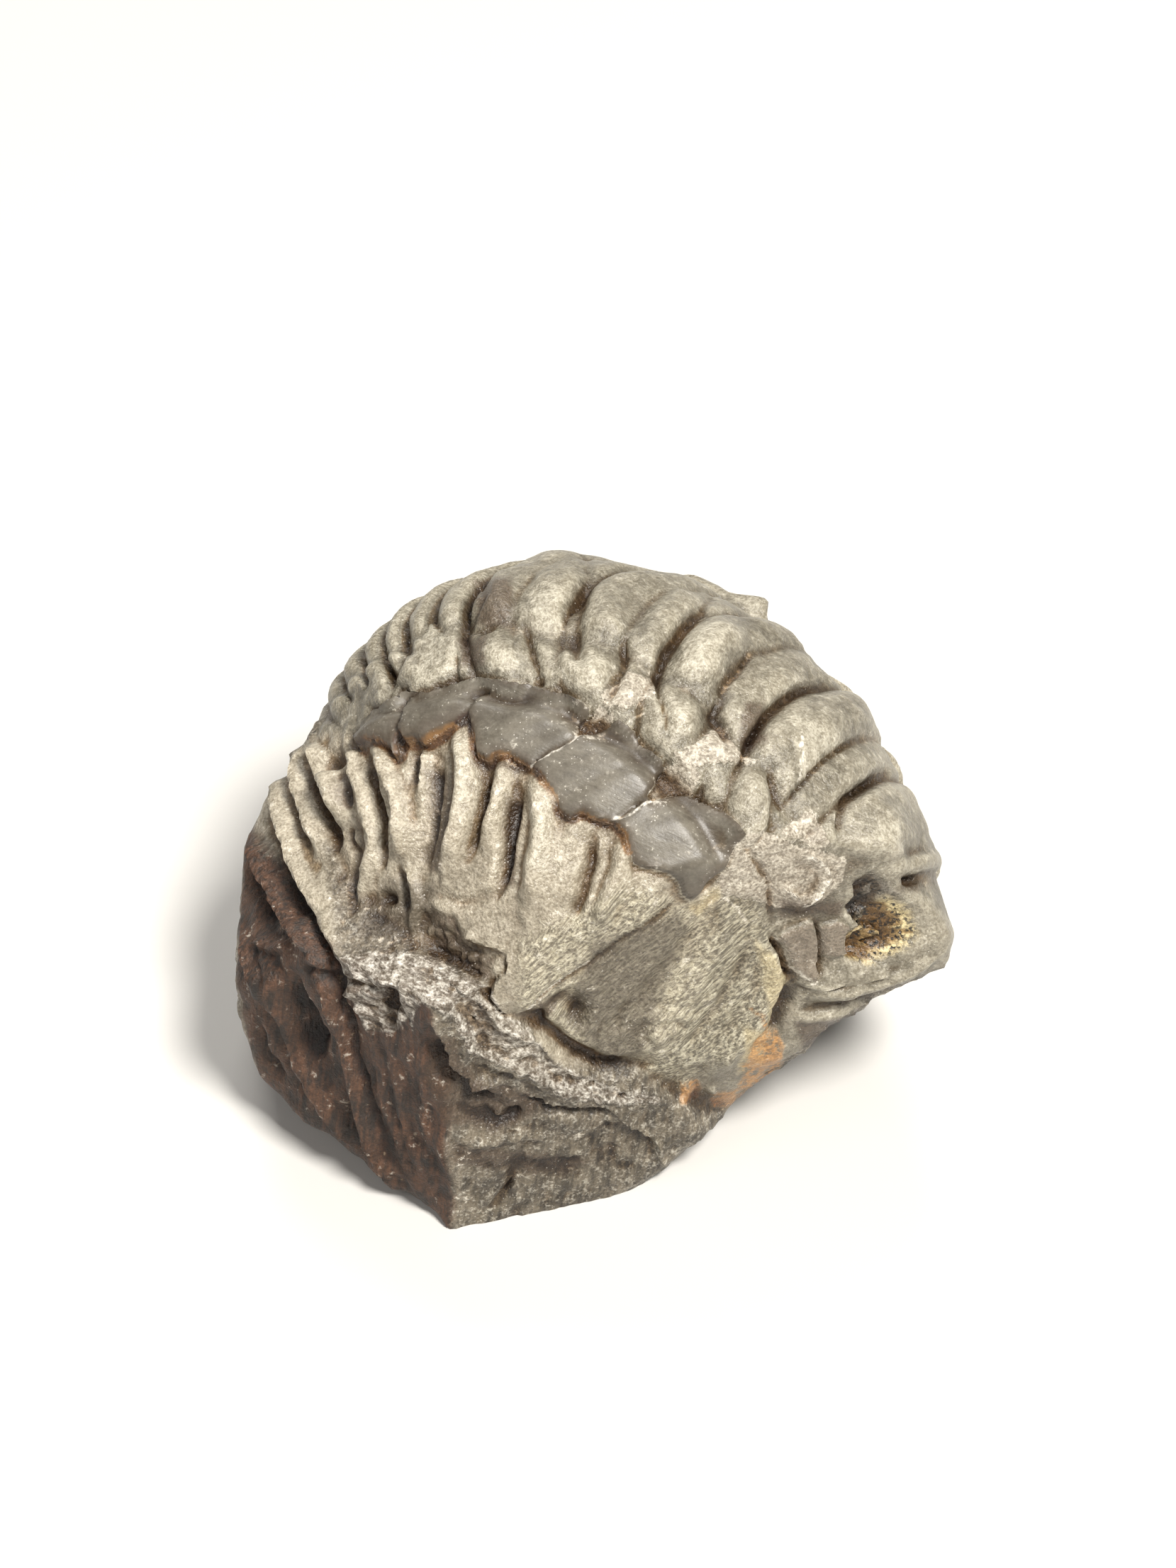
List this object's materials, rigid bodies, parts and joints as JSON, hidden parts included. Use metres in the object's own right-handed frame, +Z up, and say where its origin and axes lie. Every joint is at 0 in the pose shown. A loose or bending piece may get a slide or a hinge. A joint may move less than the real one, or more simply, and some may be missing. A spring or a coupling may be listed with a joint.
{
  "type": "trilobite fossil",
  "caption": "Rolled-up trilobite in its stone: arched back with raised rings, overlapping side plates, a ribbed mould below the broken shell, and a broken block of rock with a flat foot.",
  "frame": {"origin": "middle of the outline seen from above, on the flat broken face it rests on", "axes": "+Z up out of the resting face, +X towards the head end, +Y away from the broken front of the block"},
  "size_m": [0.0374, 0.0299, 0.0281],
  "materials": {
    "stone": "satin, grey-brown limestone with darker glossy shell"
  },
  "bodies": {
    "root": {"trilobite_fossil": "stone"}
  },
  "joints": []
}
